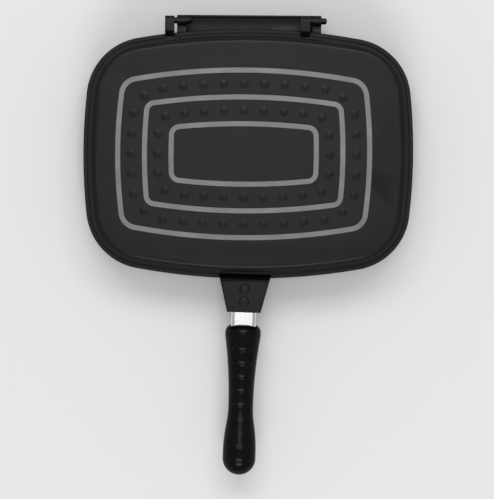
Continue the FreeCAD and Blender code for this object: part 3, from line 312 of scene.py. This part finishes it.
def drawn_steel(name, light, dark, along, smooth, rough):
    """Bare metal with fine drawn lines along one axis: it mirrors a lamp as a soft streak.

    The lines are drawn 0.3 mm apart, as coarse as they need to show.
    """
    material, tree, shader, place = new_material(name, {"Metallic": 1})
    scale = tuple(0.04 if axis == along else 1 for axis in "XYZ")
    lines = grain(tree, stretched(tree, place, scale), 0.3 * MM, detail=3)
    colour = tint(tree, spread(tree, lines, 0, 1), dark, light)
    finish(tree, shader, colour, spread(tree, lines, smooth, rough), raised(tree, lines, 0.003 * MM))
    return material


def silicone():
    """Dark grey moulded silicone, matt."""
    material, tree, shader, place = new_material("grey_silicone", {"Metallic": 0})
    skin = grain(tree, place, 0.8 * MM, detail=3)
    colour = tint(tree, skin, "3a3a3c", "454547")
    finish(tree, shader, colour, spread(tree, skin, 0.55, 0.7), raised(tree, skin, 0.01 * MM))
    return material


def sintered_ferrite():
    """Dark grey ceramic magnet with ground faces."""
    material, tree, shader, place = new_material("sintered_ferrite", {"Metallic": 0.2})
    pores = grain(tree, place, 0.25 * MM, detail=4)
    colour = tint(tree, spread(tree, pores, 0, 1), "2f3032", "3c3d40")
    finish(tree, shader, colour, spread(tree, pores, 0.45, 0.65), raised(tree, pores, 0.01 * MM))
    return material


def bowed_arcs(half_long, half_short, long_bow, short_bow, corner):
    """The back, corner and side arcs of a bowed rectangle's quarter: centre, radius, start and end."""
    back_y = half_short - long_bow
    side_x = half_long - short_bow
    reach = math.hypot(side_x, back_y)
    to_back, to_side = long_bow - corner, short_bow - corner
    along = (to_back ** 2 - to_side ** 2 + reach ** 2) / (2 * reach)
    across = math.sqrt(to_back ** 2 - along ** 2)
    corner_x = (side_x * along - back_y * across) / reach
    corner_y = back_y + (-back_y * along - side_x * across) / reach
    high = math.atan2(corner_y - back_y, corner_x)
    low = math.atan2(corner_y, corner_x - side_x)
    return (
        (0, back_y, long_bow, math.pi / 2, high),
        (corner_x, corner_y, corner, high, low),
        (side_x, 0, short_bow, low, 0),
    )


def quarter_points(arcs, count):
    """Points at equal steps along a quarter of the outline, both ends included."""
    lengths = [radius * (start - end) for _, _, radius, start, end in arcs]
    step = sum(lengths) / count
    points = []
    for number in range(count + 1):
        run = min(number * step, sum(lengths))
        for (x, y, radius, start, _), length in zip(arcs, lengths):
            if run <= length + 1e-9:
                turn = start - run / radius
                points.append((x + radius * math.cos(turn), y + radius * math.sin(turn)))
                break
            run -= length
    return points


def bump_places():
    """The middle of every bump on a plate, in the pattern's own frame."""
    places = []
    for outside, inside, corner, count in BUMP_LOOPS:
        sizes = zip(RING_SIZES[outside], RING_SIZES[inside])
        lanes = [(outer / 2 - RING_BAND + inner / 2) / 2 for outer, inner in sizes]
        arcs = bowed_arcs(*lanes, RING_LONG_BOW, RING_SHORT_BOW, corner)
        for x, y in quarter_points(arcs, count):
            for a in {x, -x}:
                for b in {y, -y}:
                    if all(math.hypot(a - c, b - d) > BUMP_RADIUS for c, d in places):
                        places.append((a, b))
    return places


def wear(piece, material, body):
    """Gives a piece its finish and the body that it rides on."""
    piece.data.materials.append(material)
    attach(piece, body)


def new_piece(name, mesh, body, material):
    """A shown piece from a mesh that is already in place."""
    piece = bpy.data.objects.new(name, mesh)
    bpy.context.scene.collection.objects.link(piece)
    wear(piece, material, body)
    return piece


def lathe(bm, profile, centre, place, segments):
    """Adds a turned form to a mesh: profile points are (radius, height), placed by a matrix."""
    rings = []
    for radius, height in profile:
        if radius < 1e-7:
            rings.append([bm.verts.new(place @ (Vector(centre) + Vector((0, 0, height))))])
            continue
        ring = []
        for number in range(segments):
            turn = 2 * math.pi * number / segments
            around = Vector((radius * math.cos(turn), radius * math.sin(turn), height))
            ring.append(bm.verts.new(place @ (Vector(centre) + around)))
        rings.append(ring)
    for ring, following in zip(rings, rings[1:]):
        for number in range(segments):
            after = (number + 1) % segments
            corners = [ring[number % len(ring)], ring[after % len(ring)]]
            corners += [following[after % len(following)], following[number % len(following)]]
            unique = list(dict.fromkeys(corners))
            if len(unique) > 2:
                bm.faces.new(unique)


def finished_mesh(bm, name, sharp=SHARP_ON_TURNED):
    """A smooth mesh with its sharp edges marked; the bmesh is used up."""
    bmesh.ops.recalc_face_normals(bm, faces=bm.faces)
    mesh = bpy.data.meshes.new(name)
    bm.to_mesh(mesh)
    bm.free()
    mesh.shade_smooth()
    mesh.set_sharp_from_angle(angle=sharp)
    return mesh


def rounded_copy(node, name, radius, prepare=None):
    """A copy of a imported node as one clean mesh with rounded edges; prepare may change it first."""
    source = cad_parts[node]
    bm = bmesh.new()
    bm.from_mesh(source.data)
    bmesh.ops.transform(bm, matrix=source.matrix_world, verts=bm.verts)
    bmesh.ops.remove_doubles(bm, verts=bm.verts, dist=WELD)
    if prepare:
        prepare(bm)
    bmesh.ops.dissolve_limit(bm, angle_limit=COPLANAR, verts=bm.verts, edges=bm.edges)
    piece = bpy.data.objects.new(name, finished_mesh(bm, name, SHARP))
    rounding = piece.modifiers.new("rounded_edges", "BEVEL")
    rounding.width = radius
    rounding.segments = EDGE_SEGMENTS
    rounding.limit_method = "ANGLE"
    rounding.angle_limit = SHARP
    rounding.harden_normals = True
    bpy.context.scene.collection.objects.link(piece)
    return piece


def handle_matrix(side):
    """From the handle's own frame, with its mating face at zero height, to the row's."""
    level = UPPER_RIM_FACE if side == UPPER else LOWER_RIM_FACE
    pivot = Vector((PAN_CENTRE.x - HANDLE_SHIFT, PAN_CENTRE.y - HANDLE_PIVOT, level))
    turned_over = Matrix.Rotation(math.pi if side == LOWER else 0, 4, "Y")
    return Matrix.Translation(pivot) @ Matrix.Rotation(-HANDLE_LEAN, 4, "Z") @ turned_over


def rounded_neck(bm, side):
    """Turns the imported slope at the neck's root into one large rounding down to the flange.

    The slope becomes one strip for each step down the neck's sides. The ends of the strips then
    move out onto a quarter of a circle, as far apart as the neck's taper takes them.
    """
    place = handle_matrix(side)
    inverse = place.inverted()
    ends = {-1: [], 1: []}
    for vert in bm.verts:
        local = inverse @ vert.co
        above_sole = local.z > NECK_SOLE - NECK_SLACK and abs(local.x) < NECK_HALF_WIDTH
        if above_sole and NECK_FLAT_END - NECK_SLACK < local.y < NECK_STEP + NECK_SLACK:
            ends[math.copysign(1, local.x)].append((local, vert))
    for row in ends.values():
        row.sort(key=lambda end: -end[0].z)

    bm.normal_update()
    slope = []
    for _, vert in ends[-1] + ends[1]:
        for face in vert.link_faces:
            normal = inverse.to_3x3() @ face.normal
            if normal.angle(SLOPE_NORMAL, math.pi) < SLOPE_SLACK and face not in slope:
                slope.append(face)
    bmesh.ops.dissolve_faces(bm, faces=slope, use_verts=False)
    for (_, left), (_, right) in zip(ends[-1], ends[1]):
        shared = [face for face in left.link_faces if right in face.verts]
        if shared and bm.edges.get((left, right)) is None:
            bmesh.utils.face_split(shared[0], left, right)
    for local, vert in ends[-1] + ends[1]:
        drop = NECK_ROUND - min(max(NECK_HEIGHT - local.z, 0), NECK_ROUND)
        reach = NECK_FLAT_END + math.sqrt(NECK_ROUND ** 2 - drop ** 2)
        local.x += math.copysign((reach - local.y) * NECK_TAPER, local.x)
        local.y = reach
        vert.co = place @ local


def smoothed_casting(side, plate, outwards):
    """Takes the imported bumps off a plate, closes the plate where they stood, and rounds the neck."""
    packed_tops = plate + outwards * PACKED_BUMP_RISE

    def at_level(vert, level):
        return abs(vert.co.z - level) < SAME_LEVEL

    def prepare(bm):
        rounded_neck(bm, side)
        tops = [vert for vert in bm.verts if at_level(vert, packed_tops)]
        bmesh.ops.delete(bm, geom=tops, context="VERTS")
        holes = [edge for edge in bm.edges if edge.is_boundary and at_level(edge.verts[0], plate)]
        bmesh.ops.holes_fill(bm, edges=holes, sides=8)

    return prepare


def bump_profile(outwards):
    """A bump's profile from foot to top: round on top, running out softly at its foot."""
    profile = []
    for step in range(BUMP_STEPS, -1, -1):
        share = math.sin(step * math.pi / (2 * BUMP_STEPS))
        height = BUMP_RISE * ((1 + math.cos(math.pi * share)) / 2)
        profile.append((BUMP_RADIUS * share, outwards * height))
    return profile


def pan(side, coating, bare):
    """A casting with rounded edges, bare ring tops and domed bumps."""
    outwards, plate = (1, UPPER_PLATE) if side == UPPER else (-1, LOWER_PLATE)
    prepare = smoothed_casting(side, plate, outwards)
    shell = rounded_copy(side + "_pan", side + "_casting", CASTING_EDGE, prepare)
    wear(shell, coating, side)
    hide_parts(side + "_pan")
    shell.data.materials.append(bare)
    ring_level = plate + outwards * RING_RISE
    for face in shell.data.polygons:
        face.material_index = int(abs(face.center.z - ring_level) < RING_TOP_SLACK)

    bm = bmesh.new()
    profile = bump_profile(outwards)
    for x, y in bump_places():
        centre = (PAN_CENTRE.x - PATTERN_SHIFT + x, PAN_CENTRE.y + y, plate)
        lathe(bm, profile, centre, Matrix.Identity(4), BUMP_SEGMENTS)
    name = side + "_bumps"
    new_piece(name, finished_mesh(bm, name), side, coating)


def s_curve(run, rise, first):
    """The sweep and the second radius of two tangent arcs that climb a rise over a run."""
    sweep = 2 * math.atan(rise / run)
    return sweep, run / math.sin(sweep) - first


def grip_radius(place):
    """The grip's radius at a distance from its front end."""
    if place < SHOULDER_RADIUS:
        depth = SHOULDER_RADIUS - place
        corner = math.sqrt(max(SHOULDER_RADIUS ** 2 - depth ** 2, 0))
        return COLLAR_RADIUS - SHOULDER_RADIUS + corner
    if place < COLLAR_AT:
        return COLLAR_RADIUS
    if place < WAIST_AT:
        sweep, other = s_curve(WAIST_AT - COLLAR_AT, COLLAR_RADIUS - WAIST_RADIUS, COLLAR_FALL)
        past = place - COLLAR_AT
        if past < COLLAR_FALL * math.sin(sweep):
            return COLLAR_RADIUS - COLLAR_FALL + math.sqrt(COLLAR_FALL ** 2 - past ** 2)
        return WAIST_RADIUS + other - math.sqrt(other ** 2 - (WAIST_AT - place) ** 2)
    if place < SWELL_AT:
        sweep, other = s_curve(SWELL_AT - WAIST_AT, SWELL_RADIUS - WAIST_RADIUS, WAIST_RISE)
        past = place - WAIST_AT
        if past < WAIST_RISE * math.sin(sweep):
            return WAIST_RADIUS + WAIST_RISE - math.sqrt(WAIST_RISE ** 2 - past ** 2)
        return SWELL_RADIUS - other + math.sqrt(other ** 2 - (SWELL_AT - place) ** 2)
    past = place - (GRIP_LENGTH - SWELL_RADIUS)
    return SWELL_RADIUS if past < 0 else math.sqrt(max(SWELL_RADIUS ** 2 - past ** 2, 0))


def rib_height(place, turn):
    """How far a finger rib stands out, at a distance from the front end and a turn from the middle."""
    number = min(max(round((place - FIRST_RIB_AT) / RIB_PITCH), 0), FINGER_RIBS - 1)
    across = (place - FIRST_RIB_AT - number * RIB_PITCH) / (RIB_FOOT / 2)
    along = abs(turn) / RIB_HALF_SWEEP
    if abs(across) >= 1 or along >= 1:
        return 0
    ends = min(1, (1 - along) / RIB_END_SHARE)
    return RIB_RISE * (math.cos(math.pi * across) + 1) / 2 * math.sqrt(1 - (1 - ends) ** 2)


def grip_stations():
    """Distances from the front end, closer together where the outline curves most."""
    shoulder = [
        SHOULDER_RADIUS * (1 - math.cos(step * math.pi / (2 * SHOULDER_STEPS)))
        for step in range(SHOULDER_STEPS)
    ]
    body_end = GRIP_LENGTH - SWELL_RADIUS
    steps = round((body_end - SHOULDER_RADIUS) / BODY_STEP)
    body = [SHOULDER_RADIUS + (body_end - SHOULDER_RADIUS) * step / steps for step in range(steps)]
    end = [
        body_end + SWELL_RADIUS * math.sin(step * math.pi / (2 * END_STEPS))
        for step in range(END_STEPS + 1)
    ]
    return shoulder + body + end


def grip_back(side):
    """The grip's smooth half round back with its finger ribs."""
    place = handle_matrix(side)
    turns = [math.pi * step / BACK_STEPS for step in range(BACK_STEPS + 1)]
    bm = bmesh.new()
    rows = []
    for distance in grip_stations():
        radius = grip_radius(distance)
        along = -GRIP_START - min(distance, GRIP_LENGTH - GRIP_INSET)
        row = []
        for turn in turns:
            reach = radius + rib_height(distance, turn - math.pi / 2) - GRIP_INSET
            point = Vector((reach * math.cos(turn), along, reach * math.sin(turn)))
            row.append(bm.verts.new(place @ point))
        rows.append(row)
    for row, following in zip(rows, rows[1:]):
        for number in range(BACK_STEPS):
            corners = (row[number], row[number + 1], following[number + 1], following[number])
            bm.faces.new(corners)
    bmesh.ops.remove_doubles(bm, verts=bm.verts, dist=BACK_WELD)
    return finished_mesh(bm, side + "_grip_back")


def grip(side, phenolic):
    """A moulded half grip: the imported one's mating face and hollows under a smooth ribbed back."""
    inverse = handle_matrix(side).inverted()

    def without_back(bm):
        outside = []
        for face in bm.faces:
            local = inverse @ face.calc_center_median()
            distance = -local.y - GRIP_START
            limit = grip_radius(min(max(distance, 0), GRIP_LENGTH)) - BACK_DEPTH
            behind_ferrule = local.z > MATING_SLACK and distance > FERRULE_POCKET
            if behind_ferrule and math.hypot(local.x, local.z) > limit:
                outside.append(face)
        bmesh.ops.delete(bm, geom=outside, context="FACES")

    core = rounded_copy(side + "_grip", side + "_grip_face", GRIP_EDGE, without_back)
    wear(core, phenolic, side)
    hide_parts(side + "_grip")
    new_piece(side + "_grip_back", grip_back(side), side, phenolic)


def rivets(side, coating):
    """Two rivets side by side on the neck, each with its head and shank."""
    dome = RIVET_DOME - RIVET_BRIM
    profile = [(0, RIVET_SINK), (RIVET_SHANK, RIVET_SINK)]
    profile += [(RIVET_SHANK, NECK_HEIGHT), (RIVET_HEAD, NECK_HEIGHT)]
    for step in range(RIVET_STEPS):
        turn = step * math.pi / (2 * RIVET_STEPS)
        radius = RIVET_HEAD * math.cos(turn) ** RIVET_RIM_POWER
        height = NECK_HEIGHT + RIVET_BRIM + dome * math.sin(turn) ** RIVET_TOP_POWER
        profile.append((radius, height))
    profile.append((0, NECK_HEIGHT + RIVET_DOME))
    bm = bmesh.new()
    for number in range(2):
        lathe(bm, profile, (0, -number * RIVET_PITCH, 0), handle_matrix(side), RIVET_SEGMENTS)
    name = side + "_rivet_pair"
    piece = new_piece(name, finished_mesh(bm, name), side, coating)
    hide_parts(side + "_rivets")


def dressed(node, body, material, radius):
    """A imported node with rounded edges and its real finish."""
    piece = rounded_copy(node, node + "_piece", radius)
    wear(piece, material, body)
    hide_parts(node)


def table_top():
    """A plain pale table under the pan."""
    bm = bmesh.new()
    bmesh.ops.create_grid(bm, x_segments=1, y_segments=1, size=TABLE_REACH)
    mesh = bpy.data.meshes.new("table_top")
    bm.to_mesh(mesh)
    bm.free()
    table = bpy.data.objects.new("table_top", mesh)
    bpy.context.scene.collection.objects.link(table)
    settings = {"Base Color": srgb("f4f4f4"), "Roughness": 0.9, "Specular IOR Level": 0.2}
    material, *_ = new_material("pale_table", settings)
    mesh.materials.append(material)


def softbox(name, place, size, radiance):
    """A rectangular lamp that faces the pan, as bright as a white surface at a radiance of 1."""
    data = bpy.data.lights.new(name, "AREA")
    data.shape = "RECTANGLE"
    data.size, data.size_y = size
    data.energy = radiance * math.pi * size[0] * size[1]
    light = bpy.data.objects.new(name, data)
    light.location = place
    light.rotation_euler = (PAN_CENTRE - Vector(place)).to_track_quat("-Z", "Y").to_euler()
    bpy.context.scene.collection.objects.link(light)


def studio():
    """A softbox overhead for the flat faces, one before and one behind the pan, and the room's glow."""
    for name, behind, height, size, radiance in LAMPS:
        softbox(name, (PAN_CENTRE.x, PAN_CENTRE.y + behind, height), size, radiance)
    world = bpy.data.worlds.new("studio")
    world.use_nodes = True
    background = world.node_tree.nodes["Background"]
    background.inputs["Color"].default_value = srgb("ffffff")
    background.inputs["Strength"].default_value = ROOM_GLOW
    bpy.context.scene.world = world


def camera():
    """The photograph's camera, with its picture's sides turned a little against the pan's."""
    across = Vector((math.cos(CAMERA_TURN), math.sin(CAMERA_TURN), 0))
    up = Vector((-math.sin(CAMERA_TURN), math.cos(CAMERA_TURN), 0))
    target = Vector((PAN_CENTRE.x, PAN_CENTRE.y, LOWER_RIM_FACE))
    place = target + Vector((0, 0, CAMERA_HEIGHT))
    target += across * (PHOTO_SIZE[0] / 2 - PAN_CENTRE_PIXEL[0]) * PIXEL_AT_RIM
    target += up * (PAN_CENTRE_PIXEL[1] - PHOTO_SIZE[1] / 2) * PIXEL_AT_RIM
    backwards = (place - target).normalized()
    right = up.cross(backwards).normalized()
    depth = CAMERA_HEIGHT * backwards.z

    data = bpy.data.cameras.new("camera")
    data.type = "PERSP"
    data.sensor_fit = "VERTICAL"
    data.lens = data.sensor_height * depth / (PIXEL_AT_RIM * PHOTO_SIZE[1])
    view = bpy.data.objects.new("camera", data)
    facing = Matrix((right, backwards.cross(right), backwards)).transposed().to_4x4()
    view.matrix_world = Matrix.Translation(place) @ facing
    bpy.context.scene.collection.objects.link(view)
    bpy.context.scene.camera = view


def main():
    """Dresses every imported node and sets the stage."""
    coating = coated_casting()
    bare = ground_rings()
    phenolic = black_phenolic()
    stainless = drawn_steel("polished_stainless", "f2f2f3", "e6e6e8", "Y", 0.16, 0.26)
    blackened = drawn_steel("blackened_steel", "303031", "262627", "X", 0.3, 0.42)
    zinc = drawn_steel("zinc_plated_steel", "b9bcbf", "a4a7aa", "Y", 0.3, 0.45)
    brass = drawn_steel("plain_brass", "d2b06a", "bf9a55", "Z", 0.25, 0.4)
    fittings = (
        ("_tang", zinc, "zinc_plated_steel", STRAP_EDGE),
        ("_ferrule", stainless, "stainless_steel", STEEL_EDGE),
        ("_grip_screw", stainless, "stainless_steel", STEEL_EDGE),
        ("_screw_washer", stainless, "stainless_steel", SMALL_EDGE),
        ("_screw_insert", brass, "insert_brass", SMALL_EDGE),
        ("_magnet", sintered_ferrite(), "ferrite_magnet", STRAP_EDGE),
    )
    for side in (UPPER, LOWER):
        pan(side, coating, bare)
        rivets(side, coating)
        grip(side, phenolic)
        for part, material, slot, edge in fittings:
            dressed(side + part, side, material, edge)
    dressed("rim_seal", LOWER, silicone(), SEAL_EDGE)
    for node in ("left_hinge_pin", "right_hinge_pin"):
        dressed(node, UPPER, blackened, PIN_EDGE)

    table_top()
    studio()
    camera()
    bpy.context.scene.view_settings.view_transform = "Standard"


main()
